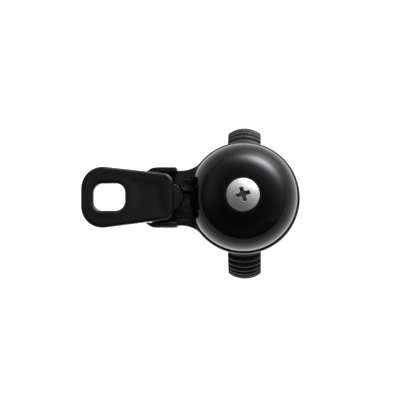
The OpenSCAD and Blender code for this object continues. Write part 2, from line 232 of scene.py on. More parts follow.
def make_piece(name, points, faces, body, material, stands_for, normals=None, edge=None):
    """Puts points in millimetres and faces into a mesh, welds its seams and poles, and fixes it to a body.
    Edge is a number from 0 to 1 at each point: plastics turn paler with it, as wear and painted highlight,
    and the screw darkens in its recess."""
    mesh = bpy.data.meshes.new(name)
    mesh.from_pydata((np.asarray(points, float) / 1000).tolist(), [], np.asarray(faces).tolist())
    if edge is not None:
        mesh.attributes.new("edge", "FLOAT", "POINT").data.foreach_set("value", edge.astype(np.float32))
    thing = bpy.data.objects.new(name, mesh)
    scene.collection.objects.link(thing)
    if normals is None:
        weld(mesh)
    mesh.shade_smooth()
    if normals is not None:
        mesh.normals_split_custom_set_from_vertices(normals.tolist())
    mesh.materials.append(material)
    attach(thing, body)
    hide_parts(*stands_for)
    print(f"{name}: {len(mesh.vertices)} points, {len(mesh.polygons)} faces")


def weld(mesh):
    """Joins points that lie together, so seams and poles are closed, and turns the faces outwards."""
    work = bmesh.new()
    work.from_mesh(mesh)
    bmesh.ops.remove_doubles(work, verts=work.verts, dist=WELD)
    bmesh.ops.recalc_face_normals(work, faces=work.faces)
    work.to_mesh(mesh)
    work.free()


def grid_faces(rows, columns, wrap_rows, wrap_columns):
    """Four-sided faces between neighbouring points of a grid, joined round where it wraps."""
    i, j = np.meshgrid(
        np.arange(rows if wrap_rows else rows - 1),
        np.arange(columns if wrap_columns else columns - 1), indexing="ij")
    k, m = (i + 1) % rows, (j + 1) % columns
    return np.stack([i * columns + j, k * columns + j, k * columns + m, i * columns + m], -1).reshape(-1, 4)


def turned(profile, steps, closed=True):
    """Turns a profile round Z: each point (r, z) goes to (r cos a, r sin a, z). The profile is either a
    closed outline, or an open one that starts and ends on the axis."""
    a = np.arange(steps) * 2 * np.pi / steps
    r, z = np.asarray(profile, float).T
    points = np.stack([np.outer(np.cos(a), r), np.outer(np.sin(a), r), np.outer(np.ones(steps), z)], -1)
    return points.reshape(-1, 3), grid_faces(steps, len(r), True, closed)


def capped(rings):
    """Closes a run of rings with a point at the middle of the first ring and of the last."""
    first, last = (ring.mean(0, keepdims=True).repeat(len(ring), 0)[None] for ring in (rings[0], rings[-1]))
    return np.concatenate([first, rings, last])


def rounded(corners, radius, steps=6):
    """A closed outline with each corner turned into a curve that leaves the two sides radius away."""
    corners = np.asarray(corners, float)
    before, after = np.roll(corners, 1, 0) - corners, np.roll(corners, -1, 0) - corners
    back, on = np.linalg.norm(before, axis=1)[:, None], np.linalg.norm(after, axis=1)[:, None]
    reach = np.minimum(radius, 0.45 * np.minimum(back, on))
    start = corners + before / back * reach
    end = corners + after / on * reach
    t = np.linspace(0, 1, steps)[None, :, None]
    curve = (1 - t) ** 2 * start[:, None] + 2 * t * (1 - t) * corners[:, None] + t ** 2 * end[:, None]
    return curve.reshape(-1, 2)


print("grid helpers ready")

# %% Distance-field helpers
MARGIN = 1.5                            # mm of grid round a piece, so the surface never meets its border
PULLS = 5                               # times each point is moved on to the surface
BEND_REACH, BEND_SHARE = 0.3, 0.35      # mm over which a bend is felt, and its strength as wear and painted edge highlight


def within(v, low, high):
    """Distance to the space between two planes, below zero inside it."""
    return np.maximum(low - v, v - high)


def both(a, b, r=0.0):
    """Where two fields overlap, with the outer edge rounded to radius r."""
    return np.minimum(np.maximum(a, b), -r) + np.hypot(np.maximum(a + r, 0), np.maximum(b + r, 0))


def either(a, b, r=0.0):
    """Two fields joined, with a fillet of radius r in the inner corner."""
    return -both(-a, -b, r)


def less(a, b, r=0.0):
    """The first field with the second cut out, the cut's edge rounded to radius r."""
    return both(a, -b, r)


def box_field(x, y, z, low, high, r):
    """A box with rounded edges between two corners."""
    plan = both(within(x, low[0], high[0]), within(y, low[1], high[1]), r)
    return both(plan, within(z, low[2], high[2]), r)


def slope(field, points, reach):
    """The field's gradient at points, from its difference over twice the reach along each axis."""
    out = np.empty_like(points)
    for k in range(3):
        shift = np.zeros(3)
        shift[k] = reach
        out[:, k] = (field(*(points + shift).T) - field(*(points - shift).T)) / (2 * reach)
    return out


def skin(field, low, high, step):
    """The surface where field is zero. One point sits in each grid cell that the surface crosses, at the
    mean of its crossings, and is then moved along the gradient until the field there is zero.
    Gives points, faces, normals, and how sharply each place bends outwards, from 0 to 1."""
    axes = [np.arange(a - MARGIN, b + MARGIN, step) for a, b in zip(low, high)]
    low = np.array([axis[0] for axis in axes])
    value = field(*np.meshgrid(*axes, indexing="ij")).astype(float)
    n = np.array(value.shape)
    inside = value < 0
    total, count = np.zeros(tuple(n - 1) + (3,)), np.zeros(tuple(n - 1))
    ends = np.array([(i, j, k) for i in (0, 1) for j in (0, 1) for k in (0, 1)])

    def at(end):
        return value[tuple(slice(c, m - 1 + c) for c, m in zip(end, n))]

    for a in ends:
        for axis in np.flatnonzero(a == 0):
            b = a + np.eye(3, dtype=int)[axis]
            va, vb = at(a), at(b)
            cross = (va < 0) != (vb < 0)
            t = np.where(cross, va / np.where(cross, va - vb, 1), 0)
            total += cross[..., None] * (a + t[..., None] * (b - a))
            count += cross
    used = count > 0
    index = np.full(used.shape, -1)
    index[used] = np.arange(used.sum())
    points = (np.argwhere(used) + total[used] / count[used][:, None]) * step + low
    quads = []
    for d in range(3):
        e, f = (d + 1) % 3, (d + 2) % 3
        first = np.take(inside, np.arange(n[d] - 1), axis=d)
        second = np.take(inside, np.arange(1, n[d]), axis=d)
        where = np.argwhere(first != second)
        corners = []
        for de, df in ((-1, -1), (0, -1), (0, 0), (-1, 0)):
            cell = where.copy()
            cell[:, e] += de
            cell[:, f] += df
            corners.append(index[tuple(cell.T)])
        quad = np.stack(corners, 1)
        facing_back = ~first[tuple(where.T)]
        quad[facing_back] = quad[facing_back][:, ::-1]
        quads.append(quad)
    for _ in range(PULLS):
        g = slope(field, points, 0.02)
        move = field(*points.T)[:, None] * g / np.maximum((g * g).sum(1), 0.05)[:, None]
        points = points - np.clip(move, -0.5 * step, 0.5 * step)
    g = slope(field, points, 0.04)
    normals = g / np.maximum(np.linalg.norm(g, axis=1), 1e-9)[:, None]
    bend = sum(field(*(points + side * axis).T) for axis in np.eye(3) * BEND_REACH for side in (-1, 1))
    return points, np.concatenate(quads), normals, np.clip(bend / BEND_REACH ** 2 * BEND_SHARE, 0, 1)


print("distance-field helpers ready")

# %% [markdown]
# ## Finishes
# Four effects are shared: the fine grain of a moulded surface, a pale rub on raised edges that is partly
# handling wear and partly painted highlight, faint smears, and fine dust. Each is a node group with named
# inputs, so every material can have its own amount. The shader itself stays in the material.

# %% Shared effects


def new_group(name, inputs, outputs):
    """An empty shader node group with float inputs {name: default} and outputs [name]."""
    group = bpy.data.node_groups.new(name, "ShaderNodeTree")
    for label, default in inputs.items():
        socket = group.interface.new_socket(label, in_out="INPUT", socket_type="NodeSocketFloat")
        socket.default_value = default
    for label in outputs:
        group.interface.new_socket(label, in_out="OUTPUT", socket_type="NodeSocketFloat")
    return group, group.nodes.new("NodeGroupInput"), group.nodes.new("NodeGroupOutput")


def noise(tree, vector, scale, detail=3.0, roughness=0.5):
    """A noise texture. Vector is a socket, and scale is a number or a socket."""
    node = tree.nodes.new("ShaderNodeTexNoise")
    node.inputs["Detail"].default_value = detail
    node.inputs["Roughness"].default_value = roughness
    tree.links.new(vector, node.inputs["Vector"])
    feed(tree, scale, node.inputs["Scale"])
    return node.outputs["Fac"]


def remap(tree, value, low, high, to_low=0.0, to_high=1.0):
    """Value from low..high to to_low..to_high, held inside those ends."""
    node = tree.nodes.new("ShaderNodeMapRange")
    feed(tree, value, node.inputs["Value"])
    for label, number in (("From Min", low), ("From Max", high), ("To Min", to_low), ("To Max", to_high)):
        feed(tree, number, node.inputs[label])
    return node.outputs["Result"]


grain, g_in, g_out = new_group("moulded grain", {"Scale": 900.0}, ["Height", "Mottle"])
place = grain.nodes.new("ShaderNodeTexCoord").outputs["Object"]
fine = noise(grain, place, g_in.outputs["Scale"], 4, 0.6)
pits = remap(grain, noise(grain, place, math(grain, "MULTIPLY", g_in.outputs["Scale"], 3.1), 1), 0.35, 0.6)
height = math(grain, "ADD", math(grain, "MULTIPLY", fine, 0.7), math(grain, "MULTIPLY", pits, 0.3))
grain.links.new(height, g_out.inputs["Height"])
coarse = math(grain, "MULTIPLY", g_in.outputs["Scale"], 0.16)
grain.links.new(noise(grain, place, coarse, 5, 0.62), g_out.inputs["Mottle"])

# Painted highlight and wear: sharply bent raised edges are lightened in patches, partly handling wear and
# partly a painted highlight.
edge_rub_highlight, r_in, r_out = new_group("rubbed edges", {"Amount": 0.5, "Patch": 260.0}, ["Rub"])
place = edge_rub_highlight.nodes.new("ShaderNodeTexCoord").outputs["Object"]
edge_value = edge_rub_highlight.nodes.new("ShaderNodeAttribute")
edge_value.attribute_name = "edge"
patches = remap(edge_rub_highlight, noise(edge_rub_highlight, place, r_in.outputs["Patch"], 6, 0.7), 0.38, 0.62)
sharp = remap(edge_rub_highlight, edge_value.outputs["Fac"], 0.25, 0.95)
edge_rub_highlight.links.new(
    math(edge_rub_highlight, "MULTIPLY", math(edge_rub_highlight, "MULTIPLY", sharp, patches), r_in.outputs["Amount"], True),
    r_out.inputs["Rub"])

smear, s_in, s_out = new_group("faint smears", {"Scale": 70.0}, ["Smear"])
place = smear.nodes.new("ShaderNodeTexCoord").outputs["Object"]
stretch = smear.nodes.new("ShaderNodeMapping")
stretch.inputs["Rotation"].default_value = (0.3, 0.2, 0.6)
stretch.inputs["Scale"].default_value = (1, 2.6, 1.4)
smear.links.new(place, stretch.inputs["Vector"])
smear.links.new(
    remap(smear, noise(smear, stretch.outputs["Vector"], s_in.outputs["Scale"], 7, 0.66), 0.42, 0.72),
    s_out.inputs["Smear"])

dust, d_in, d_out = new_group("fine dust", {"Density": 0.3}, ["Dust"])
place = dust.nodes.new("ShaderNodeTexCoord").outputs["Object"]
specks = dust.nodes.new("ShaderNodeTexVoronoi")
specks.inputs["Scale"].default_value = 900
dust.links.new(place, specks.inputs["Vector"])
near = remap(dust, specks.outputs["Distance"], 0.10, 0.20, 1, 0)
some = remap(dust, noise(dust, place, 420, 3), 0.56, 0.66)
dust.links.new(
    math(dust, "MULTIPLY", math(dust, "MULTIPLY", near, some), d_in.outputs["Density"], True),
    d_out.inputs["Dust"])
print("node groups:", [g.name for g in bpy.data.node_groups])

# %% Material builder


def use(tree, group, **values):
    """Places a shared group in a material with its own input values."""
    node = tree.nodes.new("ShaderNodeGroup")
    node.node_tree = group
    for label, value in values.items():
        node.inputs[label].default_value = value
    return node.outputs


def blend_colour(tree, amount, dark, light):
    """A colour between dark and light by amount."""
    node = tree.nodes.new("ShaderNodeMix")
    node.data_type = "RGBA"
    feed(tree, amount, node.inputs["Factor"])
    for socket, colour in ((node.inputs[6], dark), (node.inputs[7], light)):
        if isinstance(colour, bpy.types.NodeSocket):
            tree.links.new(colour, socket)
        else:
            socket.default_value = (*colour, 1)
    return node.outputs[2]


def bump(tree, shader, height, depth_mm):
    """Feeds a height of the given depth into the shader's normal."""
    node = tree.nodes.new("ShaderNodeBump")
    node.inputs["Distance"].default_value = depth_mm / 1000
    tree.links.new(height, node.inputs["Height"])
    tree.links.new(node.outputs["Normal"], shader.inputs["Normal"])


def moulded(name, colour, rub_highlight_colour, gloss, rough_range, grain_scale, grain_mm, rub_highlight_amount, dust_amount):
    """A moulded plastic or rubber: grain, pale edges that are partly wear and partly painted highlight,
    mottled gloss and a little dust.
    """
    material, tree, shader = paint(name)
    grains = use(tree, grain, Scale=grain_scale)
    rub_and_highlight = use(tree, edge_rub_highlight, Amount=rub_highlight_amount)["Rub"]
    smears = use(tree, smear)["Smear"]
    specks = use(tree, dust, Density=dust_amount)["Dust"]
    tone = blend_colour(tree, grains["Mottle"], [0.7 * c for c in colour], [1.35 * c for c in colour])
    # Raised edges take the pale rub colour: partly wear, partly a painted highlight.
    tone = blend_colour(tree, rub_and_highlight, tone, rub_highlight_colour)
    tree.links.new(blend_colour(tree, specks, tone, (0.3, 0.29, 0.27)), shader.inputs["Base Color"])
    rough = remap(tree, grains["Mottle"], 0.3, 0.7, *rough_range)
    rough = math(tree, "ADD", rough, math(tree, "MULTIPLY", smears, 0.08))
    rough = math(tree, "SUBTRACT", rough, math(tree, "MULTIPLY", rub_and_highlight, 0.12))
    tree.links.new(rough, shader.inputs["Roughness"])
    shader.inputs["Specular IOR Level"].default_value = gloss
    bump(tree, shader, grains["Height"], grain_mm)
    return material


base_plastic = moulded(
    "satin black nylon", (0.0125, 0.012, 0.011), (0.062, 0.059, 0.054),
    0.5, (0.28, 0.4), 1500, 0.012, 0.6, 0.2)
lever_plastic = moulded(
    "lever plastic", (0.0135, 0.013, 0.0118), (0.055, 0.053, 0.048),
    0.55, (0.22, 0.32), 1300, 0.008, 0.5, 0.15)
strap_nylon = moulded(
    "ribbed strap", (0.014, 0.015, 0.0135), (0.06, 0.062, 0.055), 0.45, (0.38, 0.52), 1100, 0.02, 0.6, 0.3)
clamp_plastic = moulded(
    "clamp plastic", (0.014, 0.014, 0.014), (0.07, 0.07, 0.068), 0.5, (0.38, 0.52), 1200, 0.018, 0.7, 0.3)
rubber = moulded(
    "soft rubber", (0.02, 0.02, 0.0195), (0.06, 0.06, 0.058), 0.35, (0.62, 0.8), 900, 0.03, 0.4, 0.5)
acetal = moulded(
    "natural acetal", (0.7, 0.69, 0.64), (0.8, 0.79, 0.75), 0.5, (0.35, 0.5), 1200, 0.01, 0.1, 0.1)
print("moulded materials made")

# %% [markdown]
# ## The dome's enamel and the metals
# The dome is sprayed gloss black: a smooth coat with a very slight waviness that only shows in
# reflections. The metals differ mainly in colour and in how they were cut. A turned part has
# fine rings round its axis, so its pattern is a wave of the distance from that axis.

# %% Enamel and metals
enamel, tree, shader = paint("gloss black enamel")
smears = use(tree, smear, Scale=55)["Smear"]
specks = use(tree, dust, Density=0.05)["Dust"]
place = tree.nodes.new("ShaderNodeTexCoord").outputs["Object"]
tree.links.new(
    blend_colour(tree, specks, (0.0045, 0.0045, 0.005), (0.22, 0.22, 0.21)), shader.inputs["Base Color"])
tree.links.new(remap(tree, smears, 0, 1, 0.045, 0.10), shader.inputs["Roughness"])
shader.inputs["IOR"].default_value = 1.52
bump(tree, shader, noise(tree, place, 230, 2, 0.4), 0.004)


def turned_metal(name, colour, dull, rough_range, ring_scale, depth_mm, centre=(0, 0), metal=1, recess_colour=None):
    """A turned metal: fine rings round an upright axis at centre (millimetres), with stains and wear.
    A fine haze of scratches scatters light in every way, which a metal value below 1 stands for.
    The recess colour, if given, is the colour the metal takes where the piece's edge values are high."""
    material, tree, shader = paint(name)
    place = tree.nodes.new("ShaderNodeTexCoord").outputs["Object"]
    shift = tree.nodes.new("ShaderNodeMapping")
    shift.inputs["Location"].default_value = (-centre[0] / 1000, -centre[1] / 1000, 0)
    tree.links.new(place, shift.inputs["Vector"])
    rings = tree.nodes.new("ShaderNodeTexWave")
    rings.wave_type, rings.rings_direction = "RINGS", "Z"
    rings.inputs["Scale"].default_value = ring_scale
    rings.inputs["Distortion"].default_value = 1.5
    rings.inputs["Detail"].default_value = 3
    tree.links.new(shift.outputs["Vector"], rings.inputs["Vector"])
    stain = remap(tree, noise(tree, place, 420, 6, 0.65), 0.4, 0.7)
    scuff = noise(tree, place, 1600, 4, 0.7)
    tone = blend_colour(tree, stain, colour, dull)
    if recess_colour:
        recess_value = tree.nodes.new("ShaderNodeAttribute")
        recess_value.attribute_name = "edge"
        tone = blend_colour(tree, recess_value.outputs["Fac"], tone, recess_colour)
    tree.links.new(tone, shader.inputs["Base Color"])
    wear = math(tree, "ADD", math(tree, "MULTIPLY", stain, 0.5), math(tree, "MULTIPLY", scuff, 0.5))
    tree.links.new(remap(tree, wear, 0.2, 0.8, *rough_range), shader.inputs["Roughness"])
    shader.inputs["Metallic"].default_value = metal
    bump(tree, shader, math(tree, "ADD", rings.outputs["Fac"], math(tree, "MULTIPLY", scuff, 0.8)), depth_mm)
    return material


# Inside the screw's recess the stainless is coloured a darker brown-grey.
stainless = turned_metal(
    "stainless steel", (0.97, 0.96, 0.94), (0.86, 0.84, 0.8), (0.3, 0.5), 900, 0.0016,
    metal=0.3, recess_colour=(0.24, 0.22, 0.19))
steel = turned_metal("bright steel", (0.6, 0.6, 0.61), (0.42, 0.42, 0.42), (0.24, 0.42), 700, 0.002)
# The hammer's strip and its rivets are near black: partly a blackened finish, partly painted shade for the
# dark channel they lie in.
black_and_shaded_steel = turned_metal(
    "blackened_and_shaded spring steel", (0.06, 0.06, 0.066), (0.035, 0.035, 0.037), (0.3, 0.45), 700, 0.002)
head_low, head_high = span("hammer_head")
brass = turned_metal(
    "turned brass", (0.74, 0.54, 0.25), (0.5, 0.34, 0.14), (0.2, 0.38), 800, 0.002,
    centre=(head_low[:2] + head_high[:2]) / 2)
print("metals made")

# %% [markdown]
# ## The dome
# The real dome is drawn from sheet, so its wall has one thickness and its mouth is turned over into
# a small bead. It could be a squashed sphere with Solidify, but a turned profile gives the exact
# shoulder: a superellipse, whose power sets how square the shoulder is. The profile runs up the
# outside, over the seat, down through the hole and back inside, so the shell is closed.

# %% Dome
dome_r, seat_z = dome_high[0], dome_high[2]
WALL, DOME_RISE, SQUARE = 1.2, 14.2, 2.3
SEAT_R, HOLE_R, BEAD_R = 5.2, 2.65, 0.72
BEAD_OUT = 0.05                         # how far the bead stands in past the wall


def shoulder(half_width, rise, last, steps):
    """Superellipse: r = half_width cos(t)^(2/n), z = rise sin(t)^(2/n), with t from 0 to last."""
    t = np.linspace(0, last, steps)
    return np.stack([half_width * np.cos(t) ** (2 / SQUARE), rim_z + rise * np.sin(t) ** (2 / SQUARE)], 1)


outer = shoulder(dome_r, DOME_RISE, np.arccos((SEAT_R / dome_r) ** (SQUARE / 2)), 72)
flat = (seat_z - WALL - rim_z) / (DOME_RISE - WALL)
inner = shoulder(dome_r - WALL, DOME_RISE - WALL, np.arcsin(flat ** (SQUARE / 2)), 60)
outer = outer[outer[:, 1] > rim_z + BEAD_R]
inner = inner[inner[:, 1] > rim_z + BEAD_R]
t = np.linspace(np.pi, 2 * np.pi, 16)
bead_half = WALL / 2 + BEAD_OUT
bead = np.stack([dome_r - bead_half + bead_half * np.cos(t), rim_z + BEAD_R * (1 + np.sin(t))], 1)
hole = rounded([[HOLE_R, seat_z], [HOLE_R, seat_z - WALL]], 0.15, 4)
points, faces = turned(np.concatenate([bead, outer, [[SEAT_R - 0.4, seat_z]], hole, inner[::-1]]), 192)
make_piece("dome_shell", points, faces, "head", enamel, ["dome"])

# %% [markdown]
# ## The dome's screw
# A domed stainless head with a cross recess. The head is a height field on a polar grid: a spherical
# cap, less a cross whose walls slope in and whose rim is slightly rolled by the driver. The
# recess is not a boolean cut, because a cut leaves hard edges that catch no light. Each point also
# carries how deep in the recess it lies, and the metal is coloured a darker brown-grey there.

# %% Screw
screw_low, screw_high = span("dome_screw")
HEAD_R, HEAD_EDGE, SHANK_R = 4.83, 0.5, 2.45
HEAD_H = screw_high[2] - seat_z
RECESS_LONG, RECESS_WIDE, RECESS_DEEP = 2.2, 0.68, 1.7      # half length and half width of each arm
RECESS_MID, RECESS_WALL = 1.05, 0.42    # radius of its middle, and how far in its walls slope
RECESS_TURN = np.radians(17)
LIP_HIGH, LIP_WIDE = 0.05, 0.16         # metal rolled up round the recess
RECESS_DARK_REACH = 0.3                        # how far into the recess the darker colour is full
EDGE_DROP = (0.03, 0.14)                # how the head's last two rings round its edge over


def recess_field(x, y):
    """Distance to the cross recess, seen from above, and below zero inside it."""
    u = x * np.cos(RECESS_TURN) + y * np.sin(RECESS_TURN)
    v = -x * np.sin(RECESS_TURN) + y * np.cos(RECESS_TURN)
    arm_u = both(np.abs(u) - RECESS_LONG, np.abs(v) - RECESS_WIDE, 0.2)
    arm_v = both(np.abs(v) - RECESS_LONG, np.abs(u) - RECESS_WIDE, 0.2)
    centre = np.hypot(u, v) - RECESS_MID
    return either(either(arm_u, arm_v, 0.25), centre, 0.2)


def head_height(x, y):
    """Spherical cap through the head's edge, less the cross recess: its depth grows over a sloped wall."""
    rise = HEAD_H - HEAD_EDGE
    ball = (HEAD_R ** 2 + rise ** 2) / (2 * rise)
    cap = np.sqrt(np.maximum(ball ** 2 - x ** 2 - y ** 2, 0)) - (ball - rise) + HEAD_EDGE
    cross = recess_field(x, y)
    wall = np.clip(-cross / RECESS_WALL, 0, 1)
    lip = LIP_HIGH * np.exp(-(cross / LIP_WIDE) ** 2)
    return cap - RECESS_DEEP * (wall * wall * (3 - 2 * wall)) ** 0.8 + lip


a = np.arange(240) * 2 * np.pi / 240
r = np.concatenate([np.linspace(0, 2.6, 60), np.linspace(2.66, HEAD_R - 0.15, 30), [HEAD_R - 0.05, HEAD_R]])
x, y = np.outer(np.cos(a), r), np.outer(np.sin(a), r)
z = seat_z + head_height(x, y)
# How deep in the recess each point lies, from 0 to 1: the metal is coloured darker brown-grey there.
recess_share = np.clip(-recess_field(x, y) / RECESS_DARK_REACH, 0, 1)
z[:, -2:] -= EDGE_DROP
shank = screw_low[2] - seat_z
under = np.array([[HEAD_R, 0.06], [HEAD_R - 0.08, 0], [SHANK_R, 0], [SHANK_R, shank], [0, shank]])
recess_share = np.concatenate([recess_share, np.zeros((len(a), len(under)))], 1)
x = np.concatenate([x, np.outer(np.cos(a), under[:, 0])], 1)
y = np.concatenate([y, np.outer(np.sin(a), under[:, 0])], 1)
z = np.concatenate([z, np.outer(np.ones(len(a)), seat_z + under[:, 1])], 1)
make_piece(
    "dome_screw_body", np.stack([x, y, z], -1).reshape(-1, 3), grid_faces(len(a), x.shape[1], True, False),
    "head", stainless, ["dome_screw"], edge=recess_share.reshape(-1))

# %% [markdown]
# ## The base
# One moulding: a shallow round tray under the dome, a neck that flares into it, two ears for the
# lever's pin, and a channel that lets the hammer's strip swing. A box-modelled version would need
# dozens of hand-placed loops where the flare meets the tray, so the base is grown on a distance
# field, in which a fillet is only a number.

# %% Base
base_low, base_high = span("base")
pin_low, pin_high = span("lever_pin")
bumper_low, bumper_high = span("stop_bumper")
leaf_high = span("hammer_leaf")[1]
pin_x, pin_z = (pin_low[0] + pin_high[0]) / 2, (pin_low[2] + pin_high[2]) / 2
pin_r, clevis_y = (pin_high[0] - pin_low[0]) / 2, pin_high[1]
bumper_x, bumper_y = (bumper_low[:2] + bumper_high[:2]) / 2
bumper_r = (bumper_high[0] - bumper_low[0]) / 2
base_r, ear_r = base_high[0], 3.7
floor_top = rim_z - 1.9                 # the dome's rim stands 1.9 mm over the tray's floor
tray_low, lip_top, skirt_low = floor_top - 2.4, floor_top + 1.1, floor_top - 3.4
NECK_HALF, NECK_FILLET, SKIRT_T, EAR_T = 8.2, 8.0, 1.5, 1.5
GAP_END, WEB_END, WEB_T, EAR_END, CHANNEL_DEEP = -20.6, -27.4, 1.7, -19.7, 1.5
FLARE_Y = NECK_HALF + NECK_FILLET       # centre of the flare's curve, from both axes
FLARE_X = np.sqrt((base_r + NECK_FILLET) ** 2 - FLARE_Y ** 2)
CHANNEL_X, CHANNEL_Y = (GAP_END - 5, -7.5), (-6.2, 1.6)
HUB_R, INSERT_R, INSERT_UP = 4.4, 3.4, 1.0
TRAY_INSET, BUTTON_GAP = 0.4, 0.08
TOE_OUT, TOE_DROP, TOE_R = 1.8, 0.4, 3.0    # the ear's outer end, from the pin, and its radius
TOE_X, TOE_SIDE, TOE_RUN = -27.0, 0.87, 0.5     # where its outer face turns in, and that face's direction


def capsule(u, v, back, down, r, r_end):
    """A round end that tapers from radius r at the origin to r_end at (-back, down)."""
    t = np.clip((-u * back + v * down) / (back ** 2 + down ** 2), 0, 1)
    return np.hypot(u + back * t, v - down * t) - r - (r_end - r) * t


def base_field(x, y, z):
    """Tray and flared neck, two ears, a hub; less the channel, the button's seat and the bores."""
    rho = np.hypot(x, y)
    beside = NECK_FILLET - np.hypot(x + FLARE_X, np.abs(y) - FLARE_Y)
    wedge = (np.abs(y) * FLARE_X + x * FLARE_Y) / np.hypot(FLARE_X, FLARE_Y)
    flare = both(beside, np.maximum(-FLARE_X - x, wedge))
    plan = either(either(rho - base_r, flare), both(np.abs(y) - NECK_HALF, within(x, WEB_END, 0)))
    neck = both(plan, within(z, base_low[2], floor_top), 0.45)
    neck = less(neck, both(rho - (base_r - SKIRT_T), z - tray_low), 0.1)
    tray = both(rho - base_r + TRAY_INSET, within(z, tray_low, floor_top), 0.2)
    lip = both(both(rho - base_r, base_r - SKIRT_T - rho, 0.4), within(z, skirt_low, lip_top), 0.45)
    gap = both(both(x - GAP_END, np.abs(y) - clevis_y + EAR_T), base_low[2] + WEB_T - z)
    neck = less(neck, gap, 0.3)
    shape = either(neck, either(tray, lip, 0.3), 0.4)
    ear = either(capsule(x - pin_x, z - pin_z, TOE_OUT, -TOE_DROP, ear_r, TOE_R),
                 both(within(x, pin_x, EAR_END), within(z, base_low[2] + 0.6, pin_z + ear_r), 0.5), 0.8)
    ear = both(ear, within(np.abs(y), clevis_y - EAR_T, clevis_y), 0.4)
    ear = both(ear, (np.abs(y) - clevis_y) * TOE_SIDE - (x - TOE_X) * TOE_RUN, 0.4)
    shape = either(shape, ear, 0.35)
    hub = both(rho - HUB_R, within(z, tray_low, base_high[2]), 0.3)
    shape = either(shape, hub, 0.9)
    channel = both(both(within(x, *CHANNEL_X), within(y, *CHANNEL_Y), 0.6),
                   floor_top - CHANNEL_DEEP - z, 0.3)
    shape = less(shape, channel, 0.3)
    seat = both(np.hypot(x - bumper_x, y - bumper_y) - bumper_r - BUTTON_GAP, floor_top - z)
    shape = less(shape, seat, 0.15)
    shape = less(shape, np.hypot(x - pin_x, z - pin_z) - pin_r, 0.15)
    return less(shape, both(rho - INSERT_R, tray_low + INSERT_UP - z), 0.1)


points, faces, normals, bend = skin(base_field, base_low, base_high, 0.27)
make_piece(
    "base_moulding", points, faces, "head", base_plastic, ["base"], normals, bend)

# %% [markdown]
# ## The lever
# The thumb plate tapers towards the pin, has a finger hole with a generous lip, and is slightly
# dished so the thumb stays on it. Two knuckles turn on the pin with the spring between them, and a
# stepped nose lies over the neck. All of it is one moulding, so it is one distance field.

# %% Lever
lever_low, lever_high = span("lever")
PLATE_SLOPE, PLATE_T, PLATE_UP = np.radians(8), 2.8, 4.1
REACH, LEVER_HALF, ROOT_HALF, ROOT_X = 23.1, 9.0, 7.0, 4.6
TIP_CORNER, ROOT_CORNER = 7.4, 2.6      # the plate's corners at its two ends
PLATE_EDGE, HOLE_EDGE = 0.95, 1.0       # how round its rims are
HOLE_LONG, HOLE_WIDE, HOLE_CORNER, HOLE_FROM_END = 9.6, 8.0, 2.8, 3.7
KNUCKLE_R, SPRING_HALF, FOOT_HALF, SLIP = 3.0, 2.5, 6.2, 0.3
DISH, DISH_FROM, DISH_RUN = 0.22, 1.2, 3.4  # depth, where it starts in from the rim, and how far it falls
NOSE_X, NOSE_R, NOSE_T, STEP_RUN, STEP_RISE = -22.4, 4.4, 2.4, 0.8, 0.6
nose_low = floor_top + 0.1
knuckle_half = clevis_y - EAR_T - SLIP


def rounded_box_plan(u, v, half_u, half_v, corner):
    """Distance to a rectangle with round corners, about the origin."""
    a, b = np.abs(u) - half_u + corner, np.abs(v) - half_v + corner
    return np.hypot(np.maximum(a, 0), np.maximum(b, 0)) + np.minimum(np.maximum(a, b), 0) - corner


def lever_field(x, y, z):
    """Sloped thumb plate with its hole and dish, knuckles, web and stepped nose, less bore and pocket."""
    dx, dz = x - pin_x, z - pin_z
    u = dx * np.cos(PLATE_SLOPE) + dz * np.sin(PLATE_SLOPE)
    w = dz * np.cos(PLATE_SLOPE) - dx * np.sin(PLATE_SLOPE)
    widest = TIP_CORNER - REACH
    taper = np.arctan2(LEVER_HALF - ROOT_HALF, 1 - widest)
    side = (np.abs(y) - LEVER_HALF) * np.cos(taper) + (u - widest) * np.sin(taper)
    plan = both(both(side, -REACH - u, TIP_CORNER), u - ROOT_X, ROOT_CORNER)
    hole_x = HOLE_FROM_END + HOLE_LONG / 2 - REACH
    hole = rounded_box_plan(u - hole_x, y, HOLE_LONG / 2, HOLE_WIDE / 2, HOLE_CORNER)
    inland = np.clip((-np.maximum(plan, -hole) - DISH_FROM) / DISH_RUN, 0, 1)
    top = PLATE_UP + PLATE_T - DISH * inland * inland * (3 - 2 * inland)
    plate = both(plan, np.maximum(PLATE_UP - w, w - top), PLATE_EDGE)
    plate = less(plate, hole, HOLE_EDGE)
    knuckles = both(np.hypot(dx, dz) - KNUCKLE_R, np.abs(y) - knuckle_half, 0.4)
    foot = (-KNUCKLE_R, -FOOT_HALF, 0), (KNUCKLE_R, FOOT_HALF, PLATE_UP + 0.8)
    web = box_field(dx, y, dz, *foot, 0.4)
    steps = sum(np.clip((NOSE_X + NOSE_R - STEP_RUN * i - x) / 0.25, 0, 1) for i in (1, 2, 3))
    nose_top = nose_low + NOSE_T + STEP_RISE * steps
    nose = both(np.hypot(x - NOSE_X, y) - NOSE_R, within(z, nose_low, nose_top), 0.25)
    nose = both(nose, NOSE_X - 1 - x)
    shape = either(either(plate, either(knuckles, web, 0.5), 0.5), nose, 0.2)
    shape = less(shape, np.hypot(dx, dz) - pin_r - 0.05, 0.1)
    pocket = both(np.hypot(dx, dz) - KNUCKLE_R - SLIP, np.abs(y) - SPRING_HALF)
    below = both(both(within(dx, -2 * KNUCKLE_R, 0), np.abs(y) - SPRING_HALF), dz - KNUCKLE_R - 0.2)
    return less(shape, either(pocket, below), 0.2)


points, faces, normals, bend = skin(lever_field, lever_low, lever_high, 0.2)
make_piece(
    "thumb_lever", points, faces, "lever", lever_plastic, ["lever"], normals, bend)

# %% [markdown]
# ## Pin, spring, button and hammer
# Small turned parts are profiles turned round their own axis. The spring is a round wire carried
# along a coil with a straight leg at each end.

